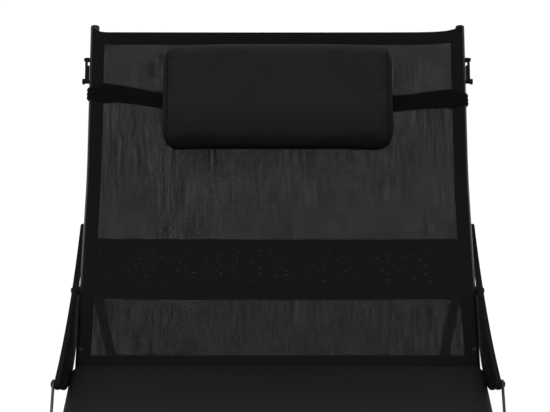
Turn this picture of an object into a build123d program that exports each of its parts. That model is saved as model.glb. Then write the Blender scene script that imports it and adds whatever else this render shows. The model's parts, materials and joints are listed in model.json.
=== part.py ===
from build123d import *
import os
from math import atan2, cos, degrees, radians, sin, sqrt

# Overall sizes of the lounger, in millimetres and degrees
back_width = 1050
back_length = 1013
seat_length = 1000
rail_height = 350
back_rise_angle = 36.3
back_upper_run = 360.4
back_bend_radius = 500
back_bend_angle = 15.2

# Tubes and fasteners
frame_tube = 25
tube_wall = 1.5
crossbar_tube = 20
stand_tube = 28
plate = 4
bolt = 8
bolt_head = 15
head_height = 4
nut_size = 14
nut_height = 6
rivet = 5
rivet_head = 8
bolt_play = 0.05
side_play = 0.2
touch = 0.1
overrun = 3

# Cloth
mesh = 1.2
lining = 1.1
hem = 38
sling_start = 20
sling_top_inset = 16
band_start = 205
band_stop = 384
side_hem = 15
bead = 4
bead_offset = 4
slot_play = 0.2

# Backrest fittings
hinge_lift = 36
tube_stub = 12
plug_cap = 3
plug_depth = 5
top_cap = 7
crossbar_inset = 38
middle_bar_at = 320
top_bar_inset = 34
arm_pivot_at = 235
disc_radius = 11
disc_teeth = 12
tooth_radius = 1.2
screw_at = 59
screw_head = 10
screw_shank = 4

# Arms and their posts
arm_reach = 420
arm_tail = 240
arm_tail_rise = 66
arm_depth = 28
arm_breadth = 14
arm_gap = 5
arm_edge = 4
arm_web = 8
arm_web_edge = 2
arm_web_behind = 50
arm_web_reach = 200
arm_web_drop = 138
post_width = 24
post_gap = 1.5

# Back stand
stand_lean_angle = 36
stand_tab = 6
stand_tab_length = 75
stand_tube_start = 50
stand_bend_radius = 70
grip_wall = 3
grip_length = 60
grip_inset = 120

# Folding legs
leg_lean_angle = 8
leg_drop = 28
front_leg_inset = 140
rear_leg_inset = 110
leg_bend_radius = 70
leg_stub = 15
bracket_width = 40
bracket_below = 34
bracket_above = 6
stop_from = 20
stop_to = 32
stop_plate = 3
foot_height = 4
foot_wrap = 14
foot_length = 60
foot_width = 34
foot_inset = 123

# Seat
hoop_bend_radius = 90
hoop_leg = 25
rail_overhang = 30
seat_bar_rear = 75
seat_bar_front = 620
seat_sling_start = 46
wrap_height = 5
pad_rear = 30
pad_thickness = 66
pad_crown = 10
pad_overhang = 3.5
pad_foot_gap = 4
pad_round_power = 2.6
pad_corner_power = 3
end_thickness_share = 0.42
end_width_share = 0.955

# Accessory brackets
bracket_top_bolt = 93
bracket_bolt_pitch = 64
bracket_standoff = 1
bracket_bar = 12
bracket_thickness = 11
bracket_notch = 12
bracket_notch_depth = 5
bracket_bolt = 6
bracket_head = 10
spacer_radius = 5
knob_radius = 8
knob_depth = 7
knob_lobes = 6

# Head pillow and its elastic strap
pillow_length = 636
pillow_height = 306
pillow_thickness = 84
pillow_top_inset = 61
pillow_clear = 0.9
pillow_crown = 14
pillow_edge = 30
strap = 1.5
strap_wide = 46
strap_narrow = 30
strap_top_inset = 195
strap_below_middle = 8
strap_tuck = 2
strap_clear = 0.5

tube_radius = frame_tube / 2
tube_bore = tube_radius - tube_wall
back_axis = back_width / 2 - tube_radius
inner_face = back_axis - tube_radius
outer_face = back_width / 2
bolt_radius = bolt / 2
bolt_hole = bolt_radius + bolt_play
rail_z = rail_height
hinge_y = 0
hinge_z = rail_z + hinge_lift
cloth_low = tube_radius + touch
cloth_high = cloth_low + mesh
sling_stop = back_length - sling_top_inset
arm_in = outer_face + arm_gap
arm_out = arm_in + arm_breadth
post_in = arm_out + post_gap
post_out = post_in + plate
top_rise = back_rise_angle + back_bend_angle
bend_stop = back_length - back_upper_run
bend_start = bend_stop - back_bend_radius * radians(back_bend_angle)


def heading(rise):
    return Vector(0, cos(radians(rise)), sin(radians(rise)))


def sitter_side(rise):
    return Vector(0, -sin(radians(rise)), cos(radians(rise)))


hinge = Vector(0, hinge_y, hinge_z)
bend_centre = hinge + heading(back_rise_angle) * bend_start + sitter_side(back_rise_angle) * back_bend_radius


def back_rise_at(along):
    turned = degrees((min(max(along, bend_start), bend_stop) - bend_start) / back_bend_radius)
    return back_rise_angle + turned


def back_at(along, lift=0, x=0):
    """A point on the bent line of the backrest, measured along it from the hinge."""
    rise = back_rise_at(along)
    base = bend_centre - sitter_side(rise) * (back_bend_radius - lift)
    past = min(along - bend_start, 0) + max(along - bend_stop, 0)
    spot = base + heading(rise) * past
    return Vector(x, spot.Y, spot.Z)


def back_line(start, stop, lift, x=0):
    """The edges of the backrest line from one distance to another."""
    edges = []
    low_stop = min(stop, bend_start)
    if start < low_stop:
        edges.append(Line(back_at(start, lift, x), back_at(low_stop, lift, x)))
    arc_start = max(start, bend_start)
    arc_stop = min(stop, bend_stop)
    if arc_start < arc_stop:
        middle = (arc_start + arc_stop) / 2
        ends = [back_at(along, lift, x) for along in (arc_start, middle, arc_stop)]
        edges.append(ThreePointArc(*ends))
    high_start = max(start, bend_stop)
    if high_start < stop:
        edges.append(Line(back_at(high_start, lift, x), back_at(stop, lift, x)))
    return edges


def back_strip(start, stop, low, high, x_from, x_to):
    """Cloth or plate that follows the backrest, between two lifts and two widths."""
    edges = back_line(start, stop, low, x_from) + back_line(start, stop, high, x_from)
    edges.append(Line(back_at(start, low, x_from), back_at(start, high, x_from)))
    edges.append(Line(back_at(stop, low, x_from), back_at(stop, high, x_from)))
    return extrude(make_face(edges), amount=x_to - x_from, dir=(1, 0, 0))


def back_pipe(start, stop, outer, bore, x, lift=0):
    """A round tube or cord along the backrest."""
    section = Circle(outer)
    if bore > 0:
        section = section - Circle(bore)
    path = Wire(back_line(start, stop, lift, x))
    place = Plane(origin=back_at(start, lift, x), z_dir=heading(back_rise_at(start)))
    return sweep(place * section, path=path)


def rod(start, end, radius):
    axis = Vector(end) - Vector(start)
    return extrude(Plane(origin=start, z_dir=axis) * Circle(radius), amount=axis.length)


def across(x_from, x_to, spot, radius):
    """A round bar along X through a point of the side view."""
    return rod((x_from, spot.Y, spot.Z), (x_to, spot.Y, spot.Z), radius)


def ring(x_from, x_to, spot, outer, bore):
    return across(x_from, x_to, spot, outer) - across(x_from, x_to, spot, bore)


def cross_bolt(x_head, x_end, spot, radius=bolt_radius, head=bolt_head, height=head_height):
    """A button-headed bolt along X, its head outwards of x_head."""
    way = 1 if x_head > x_end else -1
    cap = across(x_head, x_head + way * height, spot, head / 2)
    outer_rim = cap.edges().sort_by(Axis.X)[-1 if way > 0 else 0]
    cap = fillet(outer_rim, height / 2)
    return cap + across(x_end, x_head, spot, radius)


def cross_nut(x_from, spot, bore=bolt_hole):
    face = Plane(origin=(x_from, spot.Y, spot.Z), z_dir=(1, 0, 0)) * RegularPolygon(nut_size / 2, 6)
    return extrude(face, amount=nut_height) - across(x_from - overrun, x_from + nut_height + overrun, spot, bore)


def plug(mouth, way, radius, bore, cap, depth):
    """A plastic plug pushed into a tube's end: a domed cap and a spigot."""
    place = Plane(origin=mouth, z_dir=way)
    dome = extrude(place * Circle(radius), amount=cap)
    rim = dome.edges().sort_by(lambda edge: (edge.center() - mouth).dot(way))[-1]
    dome = fillet(rim, cap * 2 / 3)
    spigot = extrude(place * Circle(bore - touch), amount=-depth)
    return dome + spigot


def other_side(shape):
    return mirror(shape, about=Plane.YZ)


nodes = {}


def add(name, *shapes):
    nodes[name] = [solid for shape in shapes for solid in shape.solids()]


def add_sides(stem, right):
    add(stem + "_left", other_side(right))
    add(stem + "_right", right)


def add_both(name, *rights):
    add(name, *[shape for right in rights for shape in (right, other_side(right))])


# Seat frame: two side rails, a bent foot hoop and two crossbars
hoop_start = seat_length - hoop_bend_radius - hoop_leg
rail_rear = Vector(back_axis, rail_overhang, rail_z)
rail_front = Vector(back_axis, -hoop_start, rail_z)
rail = rod(rail_rear, rail_front, tube_radius) - rod(rail_rear, rail_front, tube_bore)
hoop_points = [
    (back_axis, -hoop_start, rail_z),
    (back_axis, -seat_length, rail_z),
    (-back_axis, -seat_length, rail_z),
    (-back_axis, -hoop_start, rail_z),
]
hoop_path = FilletPolyline(*hoop_points, radius=hoop_bend_radius)
hoop_end = Plane(origin=hoop_points[0], z_dir=(0, -1, 0))
foot_hoop = sweep(hoop_end * (Circle(tube_radius) - Circle(tube_bore)), path=hoop_path)


def crossbar(spot, radius, fitted_to):
    bar = across(-back_axis, back_axis, spot, radius) - across(-back_axis, back_axis, spot, radius - tube_wall)
    for tube in fitted_to:
        bar = bar - tube
    return bar.solids().sort_by(lambda solid: solid.volume)[-1]


rail_core = rod(rail_rear, rail_front, tube_radius)
rail_cores = [rail_core, other_side(rail_core)]
seat_bars = [
    crossbar(Vector(0, -seat_bar_rear, rail_z), crossbar_tube / 2, rail_cores),
    crossbar(Vector(0, -seat_bar_front, rail_z), crossbar_tube / 2, rail_cores),
]
add("foot_hoop", foot_hoop)
add("seat_crossbar_rear", seat_bars[0])
add("seat_crossbar_front", seat_bars[1])
add_both("rail_caps", plug(rail_rear, Vector(0, 1, 0), tube_radius, tube_bore, plug_cap, plug_depth))

# Hinge plates, riveted to the inner side of the rails
plate_out = inner_face - side_play
plate_in = plate_out - plate
plate_eye = tube_radius + overrun
plate_foot = Polygon(
    (hinge_y - hinge_lift, rail_z - bracket_above),
    (hinge_y + rail_overhang, rail_z - bracket_above),
    (hinge_y + plate_eye, hinge_z),
    (hinge_y - plate_eye, hinge_z),
    align=None,
)
plate_face = Plane.YZ.offset(plate_in) * (plate_foot + Pos(hinge_y, hinge_z) * Circle(plate_eye))
hinge_plate = extrude(plate_face, amount=plate)
hinge_plate = hinge_plate - across(plate_in - overrun, plate_out + overrun, hinge, bolt_hole)
rivet_spots = [Vector(0, hinge_y - 2 * rivet, rail_z), Vector(0, hinge_y + 2 * rivet, rail_z)]


def side_rivet(x_head, x_end, spot):
    return cross_bolt(x_head, x_end, spot, rivet / 2, rivet_head, plate / 2)


hinge_rivets = [side_rivet(plate_in, inner_face + overrun, spot) for spot in rivet_spots]
for spot in rivet_spots:
    hole = across(plate_in - overrun, inner_face + 2 * overrun, spot, rivet / 2 + bolt_play)
    hinge_plate = hinge_plate - hole
    rail = rail - hole
add_sides("hinge_plate", hinge_plate)
add_both("hinge_rivets", *hinge_rivets)

# Folding legs: a bent hoop on two bolts, in brackets that hang from the rails
leg_x = inner_face - plate - side_play - tube_radius
leg_pivot_z = rail_z - leg_drop
floor_bar_z = tube_radius + foot_height
foot_at = leg_x - foot_inset


def leg_way(lean):
    return Vector(0, sin(radians(lean)), -cos(radians(lean)))


def leg_hoop(pivot, lean, axis_x, radius, wall, bend, bar_z, start):
    """A U of tube from its two upper ends down to a floor bar."""
    way = leg_way(lean)
    top = pivot + way * start
    low = pivot + way * ((pivot.Z - bar_z) / cos(radians(lean)))
    corners = [(axis_x, top), (axis_x, low), (-axis_x, low), (-axis_x, top)]
    path = FilletPolyline(*[(x, spot.Y, spot.Z) for x, spot in corners], radius=bend)
    end = Plane(origin=(axis_x, top.Y, top.Z), z_dir=way)
    return sweep(end * (Circle(radius) - Circle(radius - wall)), path=path)


def floor_spot(pivot, lean, bar_z):
    return pivot + leg_way(lean) * ((pivot.Z - bar_z) / cos(radians(lean)))


def foot_pad(pivot, lean):
    bar = floor_spot(pivot, lean, floor_bar_z)
    block = Pos(foot_at, bar.Y, foot_wrap / 2) * Box(foot_length, foot_width, foot_wrap)
    block = fillet(block.edges().filter_by(Axis.Z), foot_height)
    return block - across(foot_at - foot_length, foot_at + foot_length, bar, tube_radius)


def leg_bracket(pivot, lean):
    """A hanging plate with a bent lip that stops the leg when it stands."""
    side = Box(plate, bracket_width, bracket_below + bracket_above + leg_drop)
    middle_z = (pivot.Z - bracket_below + rail_z + bracket_above) / 2
    side = Pos(inner_face - plate / 2, pivot.Y, middle_z) * side
    outwards = 1 if lean > 0 else -1
    local = Plane(origin=(leg_x, pivot.Y, pivot.Z), x_dir=(1, 0, 0), z_dir=leg_way(lean))
    shift_y = (tube_radius + side_play + stop_plate / 2) * outwards * -1
    lip_size = inner_face - leg_x
    lip = Box(lip_size, stop_plate, stop_to - stop_from)
    lip = local * Pos(lip_size / 2, shift_y, (stop_from + stop_to) / 2) * lip
    return side + lip


legs = {
    "front": (Vector(0, -seat_length + front_leg_inset, leg_pivot_z), -leg_lean_angle),
    "rear": (Vector(0, -rear_leg_inset, leg_pivot_z), leg_lean_angle),
}
leg_bolts = []
leg_nuts = []
bracket_rivets = []
for place, (pivot, lean) in legs.items():
    hoop = leg_hoop(pivot, lean, leg_x, tube_radius, tube_wall, leg_bend_radius, floor_bar_z, -leg_stub)
    hole = across(leg_x - frame_tube, leg_x + frame_tube, pivot, bolt_hole)
    hoop = hoop - hole - other_side(hole)
    bracket = leg_bracket(pivot, lean) - hole
    rivet_offset = bracket_width / 2 - rivet_head
    spots = [Vector(0, pivot.Y + shift, rail_z) for shift in (-rivet_offset, rivet_offset)]
    for spot in spots:
        hole = across(inner_face - 2 * plate, inner_face + 2 * overrun, spot, rivet / 2 + bolt_play)
        bracket = bracket - hole
        rail = rail - hole
        bracket_rivets.append(side_rivet(inner_face - plate, inner_face + overrun, spot))
    add(place + "_leg_hoop", hoop)
    add_both(place + "_feet", foot_pad(pivot, lean))
    add_sides(place + "_leg_bracket", bracket)
    nut_x = leg_x - tube_radius - nut_height - side_play
    leg_bolts.append(cross_bolt(inner_face, nut_x - side_play, pivot))
    leg_nuts.append(cross_nut(nut_x, pivot))
add_both("leg_bracket_rivets", *bracket_rivets)
add_both("leg_pivot_bolts", *leg_bolts)
add_both("leg_pivot_nuts", *leg_nuts)

# Backrest tubes, crossbars, end caps and plugs
back_tube = back_pipe(-tube_stub, back_length, tube_radius, tube_bore, back_axis)
back_core = back_pipe(-tube_stub, back_length, tube_radius, 0, back_axis)
back_cores = [back_core, other_side(back_core)]
bar_places = {
    "bottom": crossbar_inset,
    "middle": middle_bar_at,
    "top": back_length - top_bar_inset,
}
back_bars = {name: crossbar(back_at(along), crossbar_tube / 2, back_cores) for name, along in bar_places.items()}
for name, bar in back_bars.items():
    add("back_crossbar_" + name, bar)
tube_top = back_at(back_length, 0, back_axis)
tube_foot = back_at(-tube_stub, 0, back_axis)
add_both("back_top_caps", plug(tube_top, heading(top_rise), tube_radius, tube_bore, top_cap, 2 * plug_depth))
end_way = heading(back_rise_angle) * -1
add_both("back_end_plugs", plug(tube_foot, end_way, tube_radius, tube_bore, plug_cap, plug_depth))

# Back sling: mesh whose beaded edges run in slots in the tubes, with doubled hems and a doubled band
arm_pivot = back_at(arm_pivot_at)
slot_x = back_axis + bead_offset
tongue_in = slot_x - mesh / 2
tongue_out = slot_x + mesh / 2
bead_lift = sqrt(tube_bore**2 - bead_offset**2) - bead / 2 - slot_play
slot = back_strip(
    sling_start - overrun, sling_stop + overrun, bead_lift, cloth_low, tongue_in - slot_play, tongue_out + slot_play
)
back_tube = back_tube - slot
sling = back_strip(sling_start, sling_stop, cloth_low, cloth_high, -tongue_out, tongue_out)
hem_low = cloth_low - lining
hem_side = inner_face - touch
side_hem_strip = back_strip(sling_start, sling_stop, hem_low, cloth_low, inner_face - side_hem, hem_side)
tongue = back_strip(sling_start, sling_stop, bead_lift, cloth_low, tongue_in, tongue_out)
bead_cord = back_pipe(sling_start, sling_stop, bead / 2, 0, back_axis + bead_offset, bead_lift)
for piece in (side_hem_strip, tongue, bead_cord):
    sling = sling + piece + other_side(piece)
sling = sling + back_strip(sling_start, sling_start + hem, hem_low, cloth_low, -hem_side, hem_side)
sling = sling + back_strip(sling_stop - hem, sling_stop, hem_low, cloth_low, -hem_side, hem_side)
band_low = cloth_low - lining - touch
band_side = inner_face - side_hem - touch
band = back_strip(band_start, band_stop, band_low, cloth_low - touch, -band_side, band_side)

# Hinge bolts, and the bolts that carry the arms and the stand
hinge_hole = across(inner_face - overrun, outer_face + overrun, hinge, bolt_hole)
arm_hole = across(inner_face - overrun, outer_face + overrun, arm_pivot, bolt_hole)
back_tube = back_tube - hinge_hole - arm_hole
hinge_nut_x = plate_in - side_play - nut_height
add_both("hinge_bolts", cross_bolt(outer_face, hinge_nut_x - side_play, hinge))
add_both("hinge_nuts", cross_nut(hinge_nut_x, hinge))
disc_mid = inner_face - plate
tab_out = disc_mid - side_play - plate
tab_in = tab_out - stand_tab
arm_nut_x = tab_in - side_play - nut_height
add_both("arm_pivot_bolts", cross_bolt(arm_out, arm_nut_x - side_play, arm_pivot))
add_both("arm_pivot_nuts", cross_nut(arm_nut_x, arm_pivot))
add_both("arm_washers", ring(outer_face, arm_in, arm_pivot, disc_radius - touch, bolt_hole))


def ratchet_disc(x_from, x_to):
    disc = ring(x_from, x_to, arm_pivot, disc_radius - touch, bolt_hole)
    for turn in range(disc_teeth):
        angle = 360 / disc_teeth * turn
        notch_at = arm_pivot + heading(angle) * disc_radius
        disc = disc - across(x_from - overrun, x_to + overrun, notch_at, tooth_radius)
    return disc


add_both("ratchet_discs_back", ratchet_disc(disc_mid, inner_face))
add_both("ratchet_discs_stand", ratchet_disc(disc_mid - side_play - plate, disc_mid - side_play))

# Sling screws, which keep the beads from sliding down their slots
screw_x = back_axis - bead_offset / 2
screw_foot = back_at(screw_at, tube_bore - overrun, screw_x)
screw_face = back_at(screw_at, cloth_high, screw_x)
screw_top = back_at(screw_at, cloth_high + screw_shank / 2, screw_x)
screw_hole = rod(screw_foot, screw_top, screw_shank / 2)
back_tube = back_tube - screw_hole
sling = sling - screw_hole - other_side(screw_hole)
add_both("sling_screws", screw_hole + rod(screw_face, screw_top, screw_head / 2))

# Accessory brackets: a bar held off the tube on two bolts, notched below the upper one, with a knob on the lower
bar_in = outer_face + bracket_standoff
bar_out = bar_in + bracket_thickness
lower_bolt_at = back_length - bracket_top_bolt - bracket_bolt_pitch
bracket_spots = [back_at(back_length - bracket_top_bolt), back_at(lower_bolt_at)]
bar_half = bracket_bar / 2
bracket = back_strip(lower_bolt_at, lower_bolt_at + bracket_bolt_pitch, -bar_half, bar_half, bar_in, bar_out)
small_hole = bracket_bolt / 2 + bolt_play
notch_stop = back_length - bracket_top_bolt - bar_half
notch_start = notch_stop - bracket_notch
notch_half = bar_half + overrun
notch_out = bar_in + bracket_notch_depth
notch = back_strip(notch_start, notch_stop, -notch_half, notch_half, bar_in - overrun, notch_out)
bracket = bracket - notch
spacers = []
for spot in bracket_spots:
    bracket = bracket + across(bar_in, bar_out, spot, bar_half)
    spacer = across(outer_face - tube_wall, bar_in, spot, spacer_radius)
    spacers.append(spacer - back_core - across(inner_face, bar_in, spot, small_hole))
    hole = across(outer_face - 2 * tube_radius + overrun, bar_out + overrun, spot, small_hole)
    bracket = bracket - hole
    back_tube = back_tube - hole
bolt_end = back_axis
knob_in = bar_out + side_play
knob_out = knob_in + knob_depth
top_bolt = cross_bolt(bar_out, bolt_end, bracket_spots[0], bracket_bolt / 2, bracket_head)
low_bolt = across(bolt_end, knob_out - overrun, bracket_spots[1], bracket_bolt / 2)
knob = across(knob_in, knob_out, bracket_spots[1], knob_radius)
for lobe in range(knob_lobes):
    flute_at = bracket_spots[1] + heading(360 / knob_lobes * lobe) * (knob_radius + tooth_radius)
    knob = knob - across(knob_in - overrun, knob_out + overrun, flute_at, 2 * tooth_radius)
knob = knob - across(knob_in - overrun, knob_out - overrun + side_play, bracket_spots[1], small_hole)
add_sides("accessory_bracket", bracket)
add_both("bracket_bolts", top_bolt, low_bolt)
add_both("bracket_spacers", *spacers)
add_sides("bracket_knob", knob)
add_sides("back_tube", back_tube)
add("back_sling", sling)
add("back_band", band)

# Back stand: a wide U of tube with flat tabs at the pivots and two rubber floor grips
stand_x = tab_out - stand_tube / 2
stand_bar_z = stand_tube / 2 + grip_wall
grip_at = stand_x - grip_inset
stand_form = (stand_tube / 2, tube_wall, stand_bend_radius)
stand = leg_hoop(arm_pivot, stand_lean_angle, stand_x, *stand_form, stand_bar_z, stand_tube_start)
tab_radius = disc_radius - touch
tab = Pos(tab_in + stand_tab / 2, 0, stand_tab_length / 2) * Box(stand_tab, 2 * tab_radius, stand_tab_length)
tab_place = Plane(origin=(0, arm_pivot.Y, arm_pivot.Z), x_dir=(1, 0, 0), z_dir=leg_way(stand_lean_angle))
tab = tab_place * tab + across(tab_in, tab_out, arm_pivot, tab_radius)
stand = stand + tab + other_side(tab)
stand_hole = across(tab_in - overrun, tab_out + overrun, arm_pivot, bolt_hole)
stand = stand - stand_hole - other_side(stand_hole)
stand_bar = floor_spot(arm_pivot, stand_lean_angle, stand_bar_z)
grip = ring(grip_at - grip_length / 2, grip_at + grip_length / 2, stand_bar, stand_bar_z, stand_tube / 2)
add("back_stand", stand)
add_both("stand_feet", grip)

# Arms: a curved bar with a deep web, on the backrest pivot, and a flat post from its front end to the rail
post_foot = Vector(0, -arm_reach, rail_z)
arm_front = post_foot + (arm_pivot - hinge)
arm_rear = Vector(0, arm_pivot.Y + arm_tail, arm_pivot.Z + arm_tail_rise)
arm_line = ThreePointArc((arm_rear.Y, arm_rear.Z), (arm_pivot.Y, arm_pivot.Z), (arm_front.Y, arm_front.Z))
web_rear = (arm_pivot.Y + arm_web_behind, arm_pivot.Z)
web_low = (arm_pivot.Y - arm_web_reach, arm_pivot.Z - arm_web_drop)
web_front = (arm_front.Y, arm_front.Z)
web = make_face([ThreePointArc(web_rear, web_low, web_front), Line(web_front, web_rear)])
web = extrude(Plane.YZ.offset(arm_in) * web, amount=arm_web)
web = fillet(web.edges().filter_by(GeomType.CIRCLE), arm_web_edge)
arm = extrude(Plane.YZ.offset(arm_in) * SlotArc(arm_line, arm_depth), amount=arm_breadth)
arm_rims = arm.edges().filter_by(GeomType.LINE, reverse=True)
arm = fillet(arm_rims.filter_by(lambda edge: edge.length > arm_breadth), arm_edge) + web
for spot in (arm_pivot, arm_front):
    arm = arm - across(arm_in - overrun, arm_out + overrun, spot, bolt_hole)
post_line = arm_front - post_foot
post_angle = degrees(atan2(post_line.Z, post_line.Y))
post_face = Plane.YZ.offset(post_in) * Pos((arm_front.Y + post_foot.Y) / 2, (arm_front.Z + post_foot.Z) / 2)
post = extrude(post_face * SlotCenterToCenter(post_line.length, post_width, rotation=post_angle), amount=plate)
for spot in (post_foot, arm_front):
    post = post - across(post_in - overrun, post_out + overrun, spot, bolt_hole)
front_bolt = cross_bolt(post_out, arm_in + overrun, arm_front)
bush_hole = across(back_axis - overrun, post_out + overrun, post_foot, bolt_hole)
bush = across(outer_face - tube_wall, post_in - side_play, post_foot, bolt)
bush = bush - rail_core - bush_hole
add_sides("armrest", arm)
add_sides("arm_post", post)
add_sides("post_arm_bolt", front_bolt)
add_both("post_bushes", bush)
add_both("post_pivot_bolts", cross_bolt(post_out, back_axis, post_foot))
rail = rail - bush_hole
add_sides("side_rail", rail)

# Seat sling: mesh laid over the rails, its edges wrapped round their outer sides
wrap = Pos(back_axis, rail_z) * (Circle(cloth_high) - Circle(cloth_low))
wrap_window = Pos(back_axis, rail_z + wrap_height) * Rectangle(frame_tube, frame_tube, align=(Align.MIN, Align.MIN))
wrap = wrap & wrap_window
sheet = Pos(0, rail_z + (cloth_low + cloth_high) / 2) * Rectangle(2 * back_axis, mesh)
sling_face = wrap + mirror(wrap, about=Plane.YZ) + sheet
seat_sling = extrude(Plane.XZ.offset(seat_sling_start) * sling_face, amount=hoop_start - seat_sling_start)
bush_window = across(outer_face - 2 * overrun, post_in, post_foot, bolt + touch)
seat_sling = seat_sling - bush_window - other_side(bush_window)
add("seat_sling", seat_sling)


# Seat pad: one crowned cushion over the whole seat and leg length
def cushion_face(place, half_width, base, height, crown, edge):
    """A cushion's cross-section: flat below, arcs at the sides, a crowned top."""
    middle = base + height / 2
    low_left = (-half_width + edge, base)
    low_right = (half_width - edge, base)
    high_left = (-half_width + edge, base + height)
    high_right = (half_width - edge, base + height)
    outline = [
        Line(low_left, low_right),
        ThreePointArc(low_right, (half_width, middle), high_right),
        ThreePointArc(high_right, (0, base + height + crown), high_left),
        ThreePointArc(high_left, (-half_width, middle), low_left),
    ]
    return place * make_face(outline)


pad_base = rail_z + cloth_high + touch
pad_half = outer_face + pad_overhang
pad_foot = seat_length + tube_radius - pad_foot_gap
pad_span = pad_foot - pad_rear
end_shares = (0, 0.004, 0.012, 0.025, 0.045, 0.07)
pad_shares = end_shares + (0.25, 0.5, 0.75) + tuple(1 - share for share in reversed(end_shares))


def swell(share, reach, power, least):
    """How full a cushion is at a share of its length: round at the ends, full within them."""
    from_end = min(share, 1 - share, reach) / reach
    return least + (1 - least) * (1 - (1 - from_end) ** power) ** (1 / power)


pad_faces = []
for share in pad_shares:
    place = Plane.XZ.offset(pad_rear + pad_span * share)
    height = pad_thickness * swell(share, end_shares[-1], pad_round_power, end_thickness_share)
    width = pad_half * swell(share, end_shares[-1], pad_corner_power, end_width_share)
    pad_faces.append(cushion_face(place, width, pad_base, height, pad_crown * height / pad_thickness, height / 2))
add("seat_pad", loft(pad_faces, ruled=True))

# Head pillow: a crowned cushion on the straight upper run
pillow_high = back_length - pillow_top_inset
pillow_middle = pillow_high - pillow_height / 2
pillow_base = cloth_high + pillow_clear
pillow_end_shares = (0, 0.005, 0.015, 0.03, 0.055, 0.09)
pillow_shares = pillow_end_shares + (0.3, 0.5, 0.7) + tuple(1 - share for share in reversed(pillow_end_shares))
pillow_faces = []
for share in pillow_shares:
    spot = back_at(pillow_middle, 0, pillow_length * (share - 1 / 2))
    place = Plane(origin=spot, x_dir=heading(top_rise), z_dir=(1, 0, 0))
    fill = swell(share, pillow_end_shares[-1], pad_round_power, end_thickness_share)
    thick = (pillow_thickness - pillow_crown) * fill
    half = pillow_height / 2 * swell(share, pillow_end_shares[-1], pad_corner_power, end_width_share)
    pillow_faces.append(cushion_face(place, half, pillow_base, thick, pillow_crown * fill, pillow_edge * fill))
add("pillow", loft(pillow_faces, ruled=True))

# Elastic strap: two front pieces that narrow and wrap the tubes, and one piece behind the sling
strap_in = sqrt((cloth_high + strap_clear) ** 2 + (tongue_out - back_axis) ** 2)
strap_out = strap_in + strap
strap_at_tube = back_length - strap_top_inset
strap_at_pillow = pillow_middle - strap_below_middle


def strap_slice(x, along, width):
    place = Plane(origin=back_at(along, (strap_in + strap_out) / 2, x), x_dir=heading(top_rise), z_dir=(1, 0, 0))
    return place * Rectangle(width, strap)


strap_foot_x = pillow_length / 2 + strap_tuck
strap_front = loft(
    [strap_slice(strap_foot_x, strap_at_pillow, strap_wide), strap_slice(back_axis, strap_at_tube, strap_narrow)],
    ruled=True,
)
strap_low = strap_at_tube - strap_narrow / 2
strap_high = strap_at_tube + strap_narrow / 2
wrap_round = back_pipe(strap_low, strap_high, strap_out, strap_in, back_axis)
outer_half = back_strip(strap_low - overrun, strap_high + overrun, -frame_tube, frame_tube, back_axis, back_width)
wrap_round = wrap_round & outer_half
add_sides("strap", strap_front + wrap_round)
add("strap_rear", back_strip(strap_low, strap_high, -strap_out, -strap_in, -back_axis, back_axis))

# The origin is on the floor under the middle of the whole box
everything = Compound([solid for solids in nodes.values() for solid in solids])
box = everything.bounding_box()
to_centre = Pos(0, -(box.min.Y + box.max.Y) / 2, 0)
os.makedirs("parts", exist_ok=True)
for name, solids in nodes.items():
    export_step(to_centre * Compound(solids), "parts/" + name + ".step")
print(len(nodes), "nodes")
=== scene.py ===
import json
import math

import bmesh
import bpy
from mathutils import Matrix, Vector
from mathutils.bvhtree import BVHTree


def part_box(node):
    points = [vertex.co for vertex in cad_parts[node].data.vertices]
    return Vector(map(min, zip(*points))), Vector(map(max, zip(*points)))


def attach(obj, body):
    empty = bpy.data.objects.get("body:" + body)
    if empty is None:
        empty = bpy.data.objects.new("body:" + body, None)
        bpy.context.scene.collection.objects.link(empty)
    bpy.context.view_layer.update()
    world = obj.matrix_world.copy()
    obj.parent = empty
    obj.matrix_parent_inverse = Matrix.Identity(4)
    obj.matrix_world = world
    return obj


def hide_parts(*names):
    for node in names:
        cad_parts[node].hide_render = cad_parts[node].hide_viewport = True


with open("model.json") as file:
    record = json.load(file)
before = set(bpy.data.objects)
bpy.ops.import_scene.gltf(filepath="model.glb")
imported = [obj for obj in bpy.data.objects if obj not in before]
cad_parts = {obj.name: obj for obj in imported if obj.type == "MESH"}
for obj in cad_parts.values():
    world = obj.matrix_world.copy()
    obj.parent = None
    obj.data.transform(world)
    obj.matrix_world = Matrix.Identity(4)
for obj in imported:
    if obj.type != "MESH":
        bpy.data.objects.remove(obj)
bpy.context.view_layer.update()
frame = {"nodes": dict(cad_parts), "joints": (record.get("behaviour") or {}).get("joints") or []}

# Camera: a long lens some way off the foot end, above it and tilted down, aimed as the photograph was taken.
# It is placed from the tops of the two backrest tubes, which the photograph shows sharply.
view_tilt = math.radians(25)
view_way = Vector((0, math.cos(view_tilt), -math.sin(view_tilt)))
view_up = Vector((0, math.sin(view_tilt), math.cos(view_tilt)))
cap_low, cap_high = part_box("back_top_caps")
tube_tops = Vector((0, (cap_low.y + cap_high.y) / 2, (cap_low.z + cap_high.z) / 2))
picture_width = 550
sensor_width = 36
lens_pixels = 1698.6
tops_above_middle_pixels = 177
top_distance = 4.774
camera_x = -0.007
tops_above_middle = tops_above_middle_pixels / lens_pixels * top_distance
camera = bpy.data.objects.new("camera", bpy.data.cameras.new("camera"))
camera.location = tube_tops - view_way * top_distance - view_up * tops_above_middle
camera.location.x = camera_x
camera.rotation_euler = (math.pi / 2 - view_tilt, 0, 0)
camera.data.sensor_width = sensor_width
camera.data.lens = sensor_width * lens_pixels / picture_width
bpy.context.scene.collection.objects.link(camera)
bpy.context.scene.camera = camera


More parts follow.
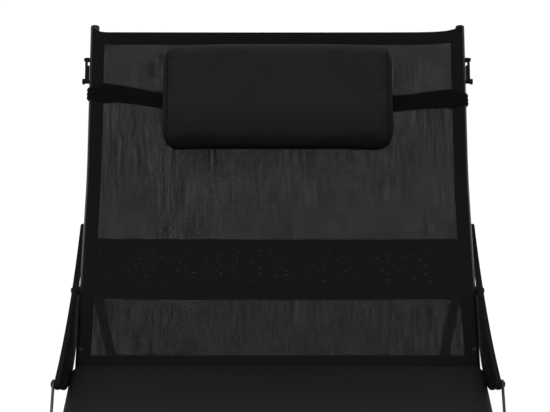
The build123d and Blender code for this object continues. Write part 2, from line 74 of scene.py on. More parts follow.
# Frame tubes and plates: round steel tube and flat steel, bent, drilled and welded, for the seat, back,
# legs, stand, arm posts and brackets. All have a black powder coat with its fine ripple, satin on the frame
# and dull on the two accessory brackets.
class Level:
    """One socket of a finish, so that sums can be written with it."""

    def __init__(self, finish, socket):
        self.finish = finish
        self.socket = socket

    def maths(self, operation, *terms):
        return self.finish.node("ShaderNodeMath", {"operation": operation}, dict(enumerate(terms)))

    def __add__(self, other):
        return self.maths("ADD", self, other)

    def __sub__(self, other):
        return self.maths("SUBTRACT", self, other)

    def __rsub__(self, other):
        return self.maths("SUBTRACT", other, self)

    def __mul__(self, other):
        return self.maths("MULTIPLY", self, other)

    def __lt__(self, other):
        return self.maths("LESS_THAN", self, other)

    def __gt__(self, other):
        return self.maths("GREATER_THAN", self, other)

    def __abs__(self):
        return self.maths("ABSOLUTE", self)

    def sine(self):
        return self.maths("SINE", self)

    def part_of_one(self):
        return self.maths("FRACT", self)

    __radd__ = __add__
    __rmul__ = __mul__


class Finish:
    """A material, written one node at a time."""

    def __init__(self, name):
        self.material = bpy.data.materials.new(name)
        self.material.use_nodes = True
        self.shader = self.material.node_tree.nodes["Principled BSDF"]

    def node(self, kind, settings=None, sockets=None, take=0):
        made = self.material.node_tree.nodes.new(kind)
        for name, value in (settings or {}).items():
            setattr(made, name, value)
        self.set(made, sockets or {})
        return Level(self, made.outputs[take])

    def set(self, made, sockets):
        for name, value in sockets.items():
            if isinstance(value, Level):
                self.material.node_tree.links.new(value.socket, made.inputs[name])
            else:
                made.inputs[name].default_value = value

    def place(self):
        return self.node("ShaderNodeTexCoord", take=3)

    def speckle(self, where, scale, detail=2.0):
        return self.node("ShaderNodeTexNoise", None, {"Vector": where, "Scale": scale, "Detail": detail})

    def shade(self, share, dark, light):
        return self.blend(share, (*dark, 1), (*light, 1))

    def blend(self, share, under, over):
        return self.node("ShaderNodeMix", {"data_type": "RGBA"}, {0: share, 6: under, 7: over}, take=2)

    def relief(self, height, depth):
        return self.node("ShaderNodeBump", None, {"Strength": 1.0, "Distance": depth, "Height": height})

    def show(self, **sockets):
        self.set(self.shader, {name.replace("_", " "): value for name, value in sockets.items()})


def dress(names, finish):
    for name in names:
        slots = frame["nodes"][name].data.materials
        slots.clear()
        slots.append(finish.material)


def powder(name, roughness, gloss):
    """Powder coat, rubbed a little smoother in places."""
    coat = Finish(name)
    place = coat.place()
    rubbed = coat.speckle(place, 9, 4)
    coat.show(
        Base_Color=coat.shade(rubbed, (0.005, 0.005, 0.0055), (0.01, 0.01, 0.0105)),
        Roughness=roughness + 0.24 * rubbed,
        Specular_IOR_Level=gloss,
        Normal=coat.relief(coat.speckle(place, 700), 0.00004),
    )
    return coat


coat = powder("powder_coat", 0.2, 0.3)
dull_coat = powder("dull_powder_coat", 0.5, 0.02)
both = ("_left", "_right")
painted = ["foot_hoop", "seat_crossbar_rear", "seat_crossbar_front", "back_crossbar_bottom"]
painted += ["back_crossbar_middle", "back_crossbar_top", "back_stand", "front_leg_hoop", "rear_leg_hoop"]
for stem in ("side_rail", "back_tube", "hinge_plate", "front_leg_bracket", "rear_leg_bracket", "arm_post"):
    painted += [stem + side for side in both]
dress(painted, coat)
dress(["accessory_bracket" + side for side in both], dull_coat)

# Bolts, nuts, rivets, bushes and ratchet discs: turned or pressed steel with a thin black zinc plating.
# The plating is worn brighter in spots by the spanner and by handling.
plating = Finish("black_plating")
plating_place = plating.place()
handled = plating.speckle(plating_place, 160, 3)
plating.show(
    Base_Color=plating.shade(handled, (0.006, 0.006, 0.0065), (0.03, 0.03, 0.032)),
    Metallic=0.06 + 0.2 * handled,
    Roughness=0.42 + 0.3 * plating.speckle(plating_place, 40),
    Specular_IOR_Level=0.06,
    Normal=plating.relief(plating.speckle(plating_place, 2200), 0.00002),
)
hardware = ["hinge_rivets", "leg_bracket_rivets", "leg_pivot_bolts", "leg_pivot_nuts", "post_pivot_bolts"]
hardware += ["post_bushes", "hinge_bolts", "hinge_nuts", "arm_pivot_bolts", "arm_pivot_nuts"]
hardware += ["ratchet_discs_back", "ratchet_discs_stand", "bracket_bolts", "bracket_spacers", "sling_screws"]
hardware += ["post_arm_bolt_left", "post_arm_bolt_right"]
dress(hardware, plating)

# Caps, plugs, washers, knobs and floor feet: moulded black plastic with a spark-eroded grain.
# The stand's two floor grips are black rubber sleeves, duller and a little dusty.
moulded = Finish("moulded_plastic")
moulded_place = moulded.place()
flow = moulded.speckle(moulded_place, 60, 3)
moulded.show(
    Base_Color=moulded.shade(flow, (0.006, 0.006, 0.006), (0.012, 0.012, 0.012)),
    Roughness=0.5 + 0.2 * flow,
    Specular_IOR_Level=0.03,
    Normal=moulded.relief(moulded.speckle(moulded_place, 1500), 0.00005),
)
plastics = ["rail_caps", "back_top_caps", "back_end_plugs", "front_feet", "rear_feet", "arm_washers"]
plastics += ["bracket_knob_left", "bracket_knob_right"]
dress(plastics, moulded)
rubber = Finish("rubber")
rubber_place = rubber.place()
dusty = rubber.speckle(rubber_place, 35, 5)
rubber.show(
    Base_Color=rubber.shade(dusty, (0.008, 0.008, 0.008), (0.022, 0.021, 0.02)),
    Roughness=0.66 + 0.25 * dusty,
    Normal=rubber.relief(rubber.speckle(rubber_place, 900), 0.00008),
)
dress(["stand_feet"], rubber)

# Armrests: solid black plastic bars with rounded edges, moulded with a leather-like pebble grain.
# Hands have polished the grain slightly on the upper faces.
arm_skin = Finish("pebbled_plastic")
arm_place = arm_skin.place()
pebbles = arm_skin.node("ShaderNodeTexVoronoi", None, {"Vector": arm_place, "Scale": 420.0})
polish = arm_skin.speckle(arm_place, 12, 4)
arm_skin.show(
    Base_Color=arm_skin.shade(polish, (0.005, 0.005, 0.005), (0.012, 0.012, 0.012)),
    Roughness=0.6 + 0.3 * polish,
    Specular_IOR_Level=0.02,
    Normal=arm_skin.relief(pebbles, 0.0004),
)
dress(["armrest_left", "armrest_right"], arm_skin)

# Mesh of the backrest: black woven polyester with tiny open corners between its yarns, stretched from tube
# to tube over three crossbars. It gives a little behind the tubes, and white light pricks through it.
hinge = Vector([joint for joint in frame["joints"] if joint["name"] == "back_recline"][0]["pos_m"])
lower_rise = math.radians(36.3)
lower_run = 0.51995
bend_radius = 0.500
bend_turn = math.radians(15.2)
tube_axis = 0.5125
sling_foot = 0.012
foot_edge = 0.003
sling_head = 0.997
bar_places = (0.038, 0.320, 0.979)
mesh_lift = 0.0132
mesh_edge = 0.4875
edge_margin = 0.004
least_give = 0.0018
swing_give = 0.005
right_ear = 0.016
right_ear_power = 16
left_ear = 0.013
left_ear_power = 60
yarn_pitch = 0.0016
band_foot = 0.205
band_head = 0.384
picks_foot = 0.252
picks_head = 0.352
picks_half = 0.41
pick_rarity = 0.745


def heading(rise):
    return Vector((0, math.cos(rise), math.sin(rise)))


def sitter_side(rise):
    return Vector((0, -math.sin(rise), math.cos(rise)))


def up_back(along, lift=0.0, x=0.0):
    """A point metres up the bent backrest from its hinge, and metres towards the sitter."""
    turned = min(max(along - lower_run, 0) / bend_radius, bend_turn)
    rise = lower_rise + turned
    centre = hinge + heading(lower_rise) * lower_run + sitter_side(lower_rise) * bend_radius
    past = min(along - lower_run, 0) + max(along - lower_run - bend_radius * bend_turn, 0)
    spot = centre - sitter_side(rise) * (bend_radius - lift) + heading(rise) * past
    return Vector((x, spot.y, spot.z))


def skin(name, rows, laid):
    """A surface through rows of points; laid gives each point's place on the flat cloth, in metres."""
    count = len(rows[0])
    faces = []
    for row in range(len(rows) - 1):
        for spot in range(count - 1):
            corner = row * count + spot
            faces.append((corner, corner + 1, corner + count + 1, corner + count))
    mesh = bpy.data.meshes.new(name)
    mesh.from_pydata([point for row in rows for point in row], [], faces)
    cloth_map = mesh.uv_layers.new(name="cloth")
    flat = [place for row in laid for place in row]
    for loop in mesh.loops:
        cloth_map.data[loop.index].uv = flat[loop.vertex_index]
    work = bmesh.new()
    work.from_mesh(mesh)
    bmesh.ops.remove_doubles(work, verts=work.verts, dist=0.00005)
    bmesh.ops.recalc_face_normals(work, faces=work.faces)
    work.to_mesh(mesh)
    work.free()
    mesh.polygons.foreach_set("use_smooth", [True] * len(mesh.polygons))
    piece = bpy.data.objects.new(name, mesh)
    bpy.context.scene.collection.objects.link(piece)
    return piece


def give(along, x):
    """How far the stretched mesh hangs behind the tubes."""
    span = [pair for pair in zip(bar_places, bar_places[1:]) if pair[0] <= along <= pair[1]]
    swing = math.sin(math.pi * (along - span[0][0]) / (span[0][1] - span[0][0])) if span else 0
    return (least_give + swing_give * swing) * (1 - (x / mesh_edge) ** 2)


def head_edge(x):
    """The mesh's upper edge rises to the tubes at its corners, further in on the photograph's right."""
    share = min(abs(x) / tube_axis, 1)
    ear = right_ear * share**right_ear_power if x > 0 else left_ear * share**left_ear_power
    return sling_head + ear


def shares(count):
    return [step / count for step in range(count + 1)]


mesh_rows = []
mesh_laid = []
for share in shares(150):
    row = []
    for across in shares(100):
        x = mesh_edge * (2 * across - 1)
        reach = head_edge(x) - edge_margin - foot_edge - edge_margin
        along = foot_edge + edge_margin + reach * share
        row.append((along, x))
    mesh_rows.append([up_back(along, mesh_lift - give(along, x), x) for along, x in row])
    mesh_laid.append([(x, along) for along, x in row])
back_mesh = skin("back_mesh", mesh_rows, mesh_laid)


def weave(finish, pitch):
    """Where the yarns are high, and the two directions of the cloth, on a piece that has a cloth map."""
    laid = finish.node("ShaderNodeUVMap", {"uv_map": "cloth"})
    parts = finish.node("ShaderNodeSeparateXYZ", None, {"Vector": laid})
    across = parts
    along = Level(finish, parts.socket.node.outputs[1])
    turn = math.pi / pitch
    warp = abs((across * turn).sine())
    weft = abs((along * turn).sine())
    return laid, across, along, warp, weft


def streaks(finish, laid, fineness):
    """Yarns are never quite alike: long thin streaks up the cloth."""
    drawn = finish.node("ShaderNodeMapping", None, {"Vector": laid, "Scale": (fineness, fineness / 22, 1)})
    return finish.speckle(drawn, 1.0, 4)


mesh_cloth = Finish("woven_mesh")
laid, across, along, warp, weft = weave(mesh_cloth, yarn_pitch)
drawn = streaks(mesh_cloth, laid, 190)
drawn_across = mesh_cloth.node("ShaderNodeMapping", None, {"Vector": laid, "Scale": (22, 330, 1)})
opened = mesh_cloth.node("ShaderNodeMapRange", None, {"Value": along, 1: 0.2, 2: 0.5, 3: 0.66, 4: 0.98})
warp_gap = (0.85 * drawn - 0.195) * opened
weft_gap = 0.17 + 0.1 * mesh_cloth.speckle(drawn_across, 1.0, 2)
hole = (warp < warp_gap) * (weft < weft_gap)
picks = mesh_cloth.node("ShaderNodeMapping", None, {"Vector": laid, "Scale": (70, 330, 1)})
in_band = (along > picks_foot) * (along < picks_head) * (abs(across) < picks_half)
dash = (mesh_cloth.speckle(picks, 1.0, 0) > pick_rarity) * in_band
yarn_shade = mesh_cloth.shade(drawn, (0.0036, 0.0036, 0.0039), (0.0072, 0.0072, 0.0076))
loose_pick = (0.03, 0.03, 0.032, 1)
mesh_cloth.show(
    Base_Color=mesh_cloth.blend(dash, yarn_shade, loose_pick),
    Roughness=0.62 + 0.2 * drawn,
    Specular_IOR_Level=0.05,
    Alpha=1 - hole * (1 - dash),
    Normal=mesh_cloth.relief(warp * 0.6 + weft * 0.4 + 0.8 * dash, 0.0003),
)
back_mesh.data.materials.append(mesh_cloth.material)
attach(back_mesh, "back")

# Hems of the backrest mesh: its edges turned over and sewn flat with two rows of thread. The side hems run
# over the tubes to the slots that grip their beads, and leave the outer side of each tube bare.
hem_width = 0.037
seam_places = (0.0045, 0.0300)
seam_half = 0.0005
stitches_per_metre = 260
stitch_share = 0.68
pucker_depth = 0.0004
side_hem = [(-0.0285, 0.0130), (-0.0275, 0.0139), (-0.0235, 0.0141), (-0.0170, 0.0142), (-0.0100, 0.0141)]
side_hem += [(-0.0040, 0.0143), (0.0000, 0.0143), (0.0028, 0.0139), (0.0048, 0.0130), (0.0060, 0.0119)]
side_hem += [(0.0052, 0.0117), (0.0020, 0.0125), (-0.0040, 0.0127), (-0.0110, 0.0127), (-0.0145, 0.0119)]
side_hem += [(-0.0200, 0.0118), (-0.0270, 0.0119), (-0.0285, 0.0130)]
end_hem = [(0.0, 0.0133), (0.0012, 0.0143), (0.0050, 0.0149), (0.0180, 0.0151), (0.0320, 0.0148)]
end_hem += [(0.0360, 0.0143), (hem_width, 0.0133), (0.0360, 0.0121), (0.0300, 0.0118), (0.0180, 0.0117)]
end_hem += [(0.0050, 0.0118), (0.0012, 0.0122), (0.0, 0.0133)]


def run_of(profile):
    """The distance round a profile at each of its points."""
    total = 0
    runs = [0]
    for before, after in zip(profile, profile[1:]):
        total += math.dist(before, after)
        runs.append(total)
    return runs


def side_hem_piece(name, side):
    rows = []
    for share in shares(160):
        spots = [(side * (tube_axis + out), lift) for out, lift in side_hem]
        alongs = [sling_foot + (head_edge(x) - sling_foot) * share for x, lift in spots]
        rows.append([up_back(along, lift, x) for along, (x, lift) in zip(alongs, spots)])
    lay = [(run, sling_head * share) for share in shares(160) for run in run_of(side_hem)]
    count = len(side_hem)
    return skin(name, rows, [lay[start : start + count] for start in range(0, len(lay), count)])


def end_hem_piece(name, edge, way):
    rows = []
    laid = []
    for across in shares(120):
        x = mesh_edge * (2 * across - 1)
        pucker = pucker_depth * math.sin(x * 190) * math.sin(x * 37)
        spots = [(edge(x) + way * depth, lift) for depth, lift in end_hem]
        rows.append([up_back(along, lift - give(along, x) + pucker, x) for along, lift in spots])
        laid.append([(run, x) for run in run_of(end_hem)])
    return skin(name, rows, laid)


hem_cloth = Finish("hem_cloth")
laid, across, along, warp, weft = weave(hem_cloth, yarn_pitch)
drawn = streaks(hem_cloth, laid, 200)
near_seam = (abs(across - seam_places[0]) < seam_half) + (abs(across - seam_places[1]) < seam_half)
stitch = near_seam * ((along * stitches_per_metre).part_of_one() < stitch_share)
hem_cloth.show(
    Base_Color=hem_cloth.shade(drawn + 0.7 * stitch, (0.0036, 0.0036, 0.0039), (0.007, 0.007, 0.0074)),
    Roughness=0.68 + 0.2 * drawn,
    Specular_IOR_Level=0.05,
    Normal=hem_cloth.relief(warp * 0.5 + weft * 0.5 + 1.6 * stitch - 1.2 * near_seam, 0.0003),
)
hems = [
    side_hem_piece("side_hem_left", -1),
    side_hem_piece("side_hem_right", 1),
    end_hem_piece("head_hem", head_edge, -1),
    end_hem_piece("foot_hem", lambda x: foot_edge, 1),
]
for hem in hems:
    hem.data.materials.append(hem_cloth.material)
    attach(hem, "back")
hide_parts("back_sling")

# Lumbar band: a second layer of the same cloth sewn behind the mesh low on the back, where it takes the
# sitter's weight. Nothing shines through there, so it reads as a plain dark stripe.
band_margin = 0.004
band_behind = 0.0012
band_rows = []
band_laid = []
for share in shares(24):
    along_here = band_foot + (band_head - band_foot) * share
    row = [(mesh_edge - band_margin) * (2 * across - 1) for across in shares(80)]
    band_rows.append([up_back(along_here, mesh_lift - band_behind - give(along_here, x), x) for x in row])
    band_laid.append([(along_here - band_foot, x) for x in row])
lumbar_band = skin("lumbar_band", band_rows, band_laid)
lumbar_band.data.materials.append(hem_cloth.material)
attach(lumbar_band, "back")
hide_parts("back_band")

# Seat mesh under the pad: the same woven cloth laid over both rails, its edges turned down round their
# outer sides and fixed below. It carries the pad and shows from beneath and from the side.
seat_low, seat_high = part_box("seat_sling")
rail_z = 0.350
seat_wrap = 0.0132
seat_dip = 0.0014
wrap_steps = [math.radians(10) * step for step in range(6)]
turned_down = [(tube_axis + seat_wrap * math.sin(turn), seat_wrap * math.cos(turn)) for turn in wrap_steps]
flat_xs = [tube_axis * (1 - 2 * share) for share in shares(40)][1:-1]
seat_profile = turned_down[::-1] + [(x, seat_wrap) for x in flat_xs] + [(-x, up) for x, up in turned_down]
seat_runs = run_of(seat_profile)
seat_rows = []
seat_laid = []
for share in shares(60):
    y = seat_low.y + (seat_high.y - seat_low.y) * share
    dip = seat_dip * math.sin(math.pi * share)
    sunk = [dip * (1 - min(abs(x) / tube_axis, 1) ** 2) for x, up in seat_profile]
    seat_rows.append([(x, y, rail_z + up - low) for (x, up), low in zip(seat_profile, sunk)])
    seat_laid.append([(run, y) for run in seat_runs])
seat_mesh = skin("seat_mesh", seat_rows, seat_laid)
seat_mesh.data.materials.append(mesh_cloth.material)
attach(seat_mesh, "base")
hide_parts("seat_sling")

# Seat pad: a boxed cushion of soft foam in a smooth black woven cover, wider than the rails and round at
# its corners. Piping runs round its top edge. It lies on the seat mesh, so only its underside is flat. Its
# rear, close to the backrest, is darkened with painted shade, standing in for the shade the backrest casts
# there.
pad_low, pad_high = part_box("seat_pad")
pad_trim = Vector((0.007, 0.006, 0))
pad_top_trim = Vector((0.007, 0.006, 0.007))
pad_corner = 0.034
pad_edge = 0.017
pad_voxel = 0.009
pad_most = 0.008
pad_cover_pitch = 0.0009
pad_painted_shade_run = 0.24
pad_painted_shade_share = 0.75
pad_seam_below_top = 0.024
pad_seam_sink = 0.0012
pad_piping_radius = 0.0026
filling_pressure = 4
filling_frames = 20


def boxed_form(name, low, high, corner, edge):
    """A cushion before it is filled: a box with round corners and soft edges."""
    work = bmesh.new()
    bmesh.ops.create_cube(work, size=1)
    size = high - low
    middle = (high + low) / 2
    to_size = Matrix.Translation(middle) @ Matrix.Diagonal((*size, 1))
    bmesh.ops.transform(work, matrix=to_size, verts=work.verts)
    upright = [e for e in work.edges if abs(e.verts[0].co.z - e.verts[1].co.z) > size.z / 2]
    bmesh.ops.bevel(work, geom=upright, offset=corner, segments=6, affect="EDGES", profile=0.5)
    rims = [e for e in work.edges if abs(e.verts[0].co.z - e.verts[1].co.z) < size.z / 4]
    rims = [e for e in rims if len({round(f.normal.z, 2) for f in e.link_faces}) == 2]
    bmesh.ops.bevel(work, geom=rims, offset=edge, segments=4, affect="EDGES", profile=0.5)
    mesh = bpy.data.meshes.new(name)
    work.to_mesh(mesh)
    work.free()
    piece = bpy.data.objects.new(name, mesh)
    bpy.context.scene.collection.objects.link(piece)
    return piece


def apply_modifiers(piece):
    bpy.context.view_layer.objects.active = piece
    for modifier in list(piece.modifiers):
        bpy.ops.object.modifier_apply(modifier=modifier.name)


def fill_cushion(piece, voxel, most, low, high):
    """Blows the cover up as its filling does, keeps each point near its cut shape and fits it to its box."""
    remesh = piece.modifiers.new("even", "REMESH")
    remesh.mode = "VOXEL"
    remesh.voxel_size = voxel
    apply_modifiers(piece)
    cut = [vertex.co.copy() for vertex in piece.data.vertices]
    cloth = piece.modifiers.new("filling", "CLOTH")
    cloth.settings.use_pressure = True
    cloth.settings.uniform_pressure_force = filling_pressure
    cloth.settings.effector_weights.gravity = 0
    cloth.point_cache.frame_end = filling_frames
    for step in range(1, filling_frames + 1):
        bpy.context.scene.frame_set(step)
    apply_modifiers(piece)
    bpy.context.scene.frame_set(1)
    filled = []
    for vertex, start in zip(piece.data.vertices, cut):
        moved = vertex.co - start
        if moved.length > most:
            moved = moved * (most / moved.length)
        spot = start + moved
        filled.append(Vector((spot.x, spot.y, max(spot.z, low.z))))
    least = [min(spot[axis] for spot in filled) for axis in range(3)]
    top = [max(spot[axis] for spot in filled) for axis in range(3)]
    for vertex, spot in zip(piece.data.vertices, filled):
        reached = [(spot[axis] - least[axis]) / (top[axis] - least[axis]) for axis in range(3)]
        vertex.co = [low[axis] + (high[axis] - low[axis]) * reached[axis] for axis in range(3)]
    smooth = piece.modifiers.new("fine", "SUBSURF")
    smooth.levels = 1
    apply_modifiers(piece)
    piece.data.polygons.foreach_set("use_smooth", [True] * len(piece.data.polygons))


pad = boxed_form("pad", pad_low + pad_trim, pad_high - pad_top_trim, pad_corner, pad_edge)
fill_cushion(pad, pad_voxel, pad_most, pad_low, pad_high)
pad_cloth = Finish("pad_cloth")
pad_place = pad_cloth.place()
pad_parts = pad_cloth.node("ShaderNodeSeparateXYZ", None, {"Vector": pad_place})
pad_back = Level(pad_cloth, pad_parts.socket.node.outputs[1])
pad_up = Level(pad_cloth, pad_parts.socket.node.outputs[2])
yarn = math.pi / pad_cover_pitch
yarns = abs((pad_parts * yarn).sine()) * 0.5 + abs(((pad_back + pad_up) * yarn).sine()) * 0.5
worn = pad_cloth.speckle(pad_place, 5, 5)
stretched = pad_cloth.node("ShaderNodeMapping", None, {"Vector": pad_place, "Scale": (60, 700, 700)})
slubs = pad_cloth.speckle(stretched, 1.0)
rumple = pad_cloth.speckle(pad_place, 11, 2)
# Painted shade: the cover's colour darkens towards its rear edge, standing in for the backrest's shade.
pad_painted_shade_range = {"Value": pad_back, 1: pad_high.y - pad_painted_shade_run, 2: pad_high.y}
painted_shade_mask = pad_cloth.node("ShaderNodeMapRange", None, pad_painted_shade_range)
painted_shade_colour = (0.004, 0.004, 0.0043, 1)
pad_colour = pad_cloth.shade(worn * 0.6 + slubs * 0.4, (0.0082, 0.0082, 0.0086), (0.0165, 0.0165, 0.0174))
pad_cloth.show(
    Base_Color=pad_cloth.blend(painted_shade_mask * pad_painted_shade_share, pad_colour, painted_shade_colour),
    Roughness=0.66 + 0.2 * worn,
    Specular_IOR_Level=0.06,
    Normal=pad_cloth.relief(yarns * 0.12 + rumple * 3.0, 0.0012),
)
pad.data.materials.append(pad_cloth.material)
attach(pad, "base")
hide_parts("seat_pad")


def cast_loop(piece, centre, ways, sink):
    """Points round a cushion where lines from its middle come out, a little below its skin."""
    corners = [vertex.co for vertex in piece.data.vertices]
    tree = BVHTree.FromPolygons(corners, [face.vertices for face in piece.data.polygons])
    spots = []
    for way in ways:
        hit = tree.ray_cast(centre, way)[0]
        spots.append(hit - way * sink)
    return spots


def piping(name, spots, radius):
    """A cord sewn into a seam: a closed round tube through the given points."""
    curve = bpy.data.curves.new(name, "CURVE")
    curve.dimensions = "3D"
    line = curve.splines.new("POLY")
    line.points.add(len(spots) - 1)
    for point, spot in zip(line.points, spots):
        point.co = (*spot, 1)
    line.use_cyclic_u = True
    curve.bevel_depth = radius
    curve.bevel_resolution = 3
    piece = bpy.data.objects.new(name, curve)
    bpy.context.scene.collection.objects.link(piece)
    return piece


seam_z = pad_high.z - pad_seam_below_top
pad_middle = Vector(((pad_low.x + pad_high.x) / 2, (pad_low.y + pad_high.y) / 2, seam_z))
rounds = [math.radians(0.75) * step for step in range(480)]
pad_ways = [Vector((math.cos(turn), math.sin(turn), 0)) for turn in rounds]
pad_seam = cast_loop(pad, pad_middle, pad_ways, pad_seam_sink)
pad_piping = piping("pad_piping", pad_seam, pad_piping_radius)
pad_piping.data.materials.append(pad_cloth.material)
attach(pad_piping, "base")

# Head pillow: a stuffed bolster in the pad's cloth, flat where it lies on the mesh. Its front panel is one
# piece rolled over top and bottom, closed by a gusset and a corded seam at each end. Its lower side and its
# corded seams are darkened with painted shade.
pillow_length = 0.636
pillow_height = 0.306
pillow_depth = 0.084
pillow_middle = 0.799
pillow_base = 0.0147
pillow_corner = 0.040
pillow_edge = 0.030
pillow_voxel = 0.0055
pillow_most = 0.009
pillow_roll = 0.10
pillow_end_taper = 0.09
pillow_slump = 0.006
pillow_gusset = 0.016
pillow_seam_lift = 0.42
pillow_seam_sink = 0.0004
pillow_piping_radius = 0.0024
pillow_painted_shade_run = 0.115
pillow_painted_shade_share = 0.85
pillow_rise = lower_rise + bend_turn
pillow_place = Matrix.Translation(up_back(pillow_middle, pillow_base)) @ Matrix.Rotation(pillow_rise, 4, "X")
half_size = Vector((pillow_length / 2, pillow_height / 2, 0))
pillow_low = -half_size
pillow_high = half_size + Vector((0, 0, pillow_depth))
trim = Vector((0.004, 0.008, 0))
top_trim = trim + Vector((0, 0, 0.014))
pillow = boxed_form("pillow_cover", pillow_low + trim, pillow_high - top_trim, pillow_corner, pillow_edge)
fill_cushion(pillow, pillow_voxel, pillow_most, pillow_low, pillow_high)
for vertex in pillow.data.vertices:
    x, y, z = vertex.co
    full = 1 - pillow_roll * abs(2 * y / pillow_height) ** 3
    y -= max(y, 0) * pillow_end_taper * abs(2 * x / pillow_length) ** 3
    slump = pillow_slump * (z / pillow_depth) * (1 - (2 * x / pillow_length) ** 2)
    vertex.co = (x * full ** 0.25, y - slump, z)
end_seam_x = pillow_length / 2 - pillow_gusset
ring_turns = [math.radians(3) * step for step in range(120)]
ring_ways = [Vector((0, math.cos(turn), math.sin(turn))) for turn in ring_turns]
pillow_seams = []
for side in (-1, 1):
    seam_middle = Vector((side * end_seam_x, 0, pillow_depth * pillow_seam_lift))
    spots = cast_loop(pillow, seam_middle, ring_ways, pillow_seam_sink)
    name = "pillow_piping" + ("_left" if side < 0 else "_right")
    pillow_seams.append(piping(name, spots, pillow_piping_radius))
pillow_cloth = Finish("pillow_cloth")
pillow_spot = pillow_cloth.place()
pillow_parts = pillow_cloth.node("ShaderNodeSeparateXYZ", None, {"Vector": pillow_spot})
pillow_up = Level(pillow_cloth, pillow_parts.socket.node.outputs[1])
pillow_out = Level(pillow_cloth, pillow_parts.socket.node.outputs[2])
yarns = abs((pillow_parts * yarn).sine()) * 0.5 + abs(((pillow_up + pillow_out) * yarn).sine()) * 0.5
worn = pillow_cloth.speckle(pillow_spot, 7, 5)
rumple = pillow_cloth.speckle(pillow_spot, 16, 2)
# Painted shade: the cover's colour darkens towards the pillow's lower side, standing in for shade on its
# downward-curving faces.
pillow_foot = up_back(pillow_middle - pillow_height / 2, pillow_base)
foot_climb = pillow_foot.dot(heading(pillow_rise))
climb = pillow_up * math.cos(pillow_rise) + pillow_out * math.sin(pillow_rise) - foot_climb
painted_shade_mask = pillow_cloth.node("ShaderNodeMapRange", None, {"Value": climb, 1: pillow_painted_shade_run, 2: 0.0})
pillow_colour = pillow_cloth.shade(worn, (0.009, 0.009, 0.0095), (0.0165, 0.0165, 0.0175))
pillow_cloth.show(
    Base_Color=pillow_cloth.blend(painted_shade_mask * pillow_painted_shade_share, pillow_colour, painted_shade_colour),
    Roughness=0.66 + 0.2 * worn,
    Specular_IOR_Level=0.06,
    Normal=pillow_cloth.relief(yarns * 0.12 + rumple * 2.4, 0.0012),
)
# The pillow's corded seams take the darker hem cloth: painted shade of the creases along them.
for piece in [pillow] + pillow_seams:
    piece.data.transform(pillow_place)
    piece.data.materials.append(pillow_cloth.material if piece == pillow else hem_cloth.material)
    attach(piece, "head_pillow")
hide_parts("pillow")

# Pillow strap: one loop of ribbed black elastic, sewn into the pillow's ends. In front it fans out a little
# and lies lower on one side, and it bunches up where it turns round each tube. Behind the mesh it runs
# straight across.
strap_at_tube = {-1: 0.819, 1: 0.802}
strap_at_pillow = {-1: 0.793, 1: 0.783}
strap_lift = 0.0158
strap_round = 0.0158
strap_sewn_in = 0.008
strap_cut = 0.045
strap_fan = 0.011
strap_pinch = 0.022
strap_pinch_from = 0.84
strap_bunch_from = 0.35
strap_ridge = 0.0011
strap_wave = 0.0003
strap_crease = 0.0016
strap_crease_width = 0.09
rib_pitch = 0.0021
strap_rear_width = 0.034
strap_rear_sway = 0.0012
web_thickness = 0.0012
strap_start = pillow_length / 2 - strap_sewn_in
round_turns = [math.radians(15) * step for step in range(1, 13)]


def strap_piece(name, side):
    stations = [(strap_start + (tube_axis - strap_start) * share, strap_lift, share) for share in shares(26)]
    stations += [(tube_axis + strap_round * math.sin(turn), strap_round * math.cos(turn), 1 + turn / math.pi)
                 for turn in round_turns]
    rows = []
    laid = []
    run = 0
    before = None
    for x, lift, way in stations:
        reach = min(way, 1)
        climb = strap_at_tube[side] - strap_at_pillow[side]
        middle = strap_at_pillow[side] + climb * math.sin(math.pi / 2 * reach)
        fan = strap_fan * min(reach / strap_pinch_from, 1) ** 2
        pinch = strap_pinch * (max(reach - strap_pinch_from, 0) / (1 - strap_pinch_from)) ** 1.5
        wide = strap_cut + fan - pinch
        bunch = max(reach - strap_bunch_from, 0) / (1 - strap_bunch_from)
        row = []
        for share in shares(28):
            ripple = strap_ridge * bunch * (1 - math.cos(6 * math.pi * share))
            ripple += strap_wave * math.sin(40 * x + 9 * share)
            ripple += strap_crease * math.exp(-(((share - 0.62 + 0.3 * reach) / strap_crease_width) ** 2))
            out = x + ripple * math.sin(math.acos(max(min(lift / strap_round, 1), -1))) if way > 1 else x
            up = lift + ripple * (1 if way <= 1 else lift / strap_round)
            row.append(up_back(middle + wide * (share - 0.5), up, side * out))
        rows.append(row)
        if before is not None:
            run += math.dist(before, (x, lift))
        before = (x, lift)
        laid.append([(wide * share, run) for share in shares(28)])
    return skin(name, rows, laid), run


elastic = Finish("ribbed_elastic")
laid, across, along, warp, weft = weave(elastic, rib_pitch)
drawn = streaks(elastic, laid, 300)
elastic.show(
    Base_Color=elastic.shade(drawn * warp, (0.0018, 0.0018, 0.002), (0.006, 0.006, 0.0064)),
    Roughness=0.7 + 0.2 * drawn,
    Specular_IOR_Level=0.04,
    Normal=elastic.relief(warp + 0.3 * abs((along * 3500).sine()), 0.0004),
)
rear_rows = []
rear_laid = []
for share in shares(60):
    x = tube_axis * (2 * share - 1)
    sway = strap_rear_sway * math.sin(math.pi * share)
    behind = strap_at_tube[-1] + (strap_at_tube[1] - strap_at_tube[-1]) * share
    heights = [strap_rear_width * (step - 0.5) for step in shares(10)]
    rear_rows.append([up_back(behind + height, -strap_round - sway, x) for height in heights])
    rear_laid.append([(strap_rear_width * step, x) for step in shares(10)])
strap_rear = skin("elastic_rear", rear_rows, rear_laid)
strap_left, strap_run = strap_piece("elastic_left", -1)
strap_right = strap_piece("elastic_right", 1)[0]
for strap, node in ((strap_left, "strap_left"), (strap_right, "strap_right"), (strap_rear, "strap_rear")):
    web = strap.modifiers.new("web", "SOLIDIFY")
    web.thickness = web_thickness
    web.offset = 0
    apply_modifiers(strap)
    strap.data.polygons.foreach_set("use_smooth", [True] * len(strap.data.polygons))
    strap.data.materials.append(elastic.material)
    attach(strap, "head_pillow")
    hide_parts(node)

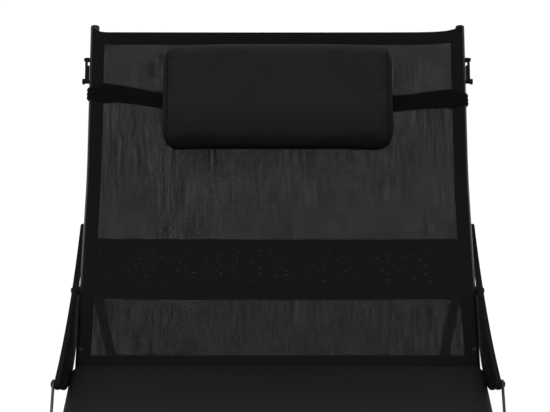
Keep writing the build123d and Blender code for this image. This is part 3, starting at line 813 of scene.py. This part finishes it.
# Studio: a pale floor that reads white to the camera but keeps the lounger's soft shadow, a white sky, a
# large soft lamp above the foot end and a weaker one behind.
floor_half = 30
floor_corners = [(-floor_half, -floor_half, 0), (floor_half, -floor_half, 0)]
floor_corners += [(floor_half, floor_half, 0), (-floor_half, floor_half, 0)]
white_strength = 1.2
white_share = 0.82
sky_on_object = 0.5
floor_mesh = bpy.data.meshes.new("floor")
floor_mesh.from_pydata(floor_corners, [], [(0, 1, 2, 3)])
floor = bpy.data.objects.new("floor", floor_mesh)
bpy.context.scene.collection.objects.link(floor)
ground = Finish("studio_floor")
seen = ground.node("ShaderNodeLightPath", take=0)
mirrored = Level(ground, seen.socket.node.outputs["Is Glossy Ray"])
through = Level(ground, seen.socket.node.outputs["Is Transmission Ray"])
pale = ground.node("ShaderNodeBsdfDiffuse", None, {"Color": (0.4, 0.4, 0.4, 1)})
white = ground.node("ShaderNodeEmission", None, {"Color": (1, 1, 1, 1), "Strength": white_strength})
looked_at = (seen + mirrored + through) * white_share
surface = ground.node("ShaderNodeMixShader", None, {0: looked_at, 1: pale, 2: white})
ground.set(ground.material.node_tree.nodes["Material Output"], {"Surface": surface})
floor_mesh.materials.append(ground.material)

world = bpy.data.worlds.new("studio")
bpy.context.scene.world = world
world.use_nodes = True
sky = world.node_tree
rays = sky.nodes.new("ShaderNodeLightPath")
brightest = rays.outputs["Is Camera Ray"]
for way in ("Is Glossy Ray", "Is Transmission Ray"):
    either = sky.nodes.new("ShaderNodeMath")
    either.operation = "MAXIMUM"
    sky.links.new(brightest, either.inputs[0])
    sky.links.new(rays.outputs[way], either.inputs[1])
    brightest = either.outputs[0]
strength = sky.nodes.new("ShaderNodeMapRange")
strength.inputs["To Min"].default_value = sky_on_object
strength.inputs["To Max"].default_value = 1.0
sky.links.new(brightest, strength.inputs["Value"])
sky.nodes["Background"].inputs["Color"].default_value = (1, 1, 1, 1)
sky.links.new(strength.outputs["Result"], sky.nodes["Background"].inputs["Strength"])


def lamp(name, spot, aim, size, power):
    light = bpy.data.lights.new(name, "AREA")
    light.shape = "SQUARE"
    light.size = size
    light.energy = power
    holder = bpy.data.objects.new(name, light)
    holder.location = spot
    holder.rotation_euler = (Vector(aim) - Vector(spot)).to_track_quat("-Z", "Y").to_euler()
    bpy.context.scene.collection.objects.link(holder)


lamp("key", (-0.5, -2.1, 3.9), (0, 0.1, 0.5), 2.4, 84)
lamp("rear", (0.5, 3.5, 2.9), (0, 0.3, 0.5), 2.2, 12)
bpy.context.scene.view_settings.view_transform = "Standard"
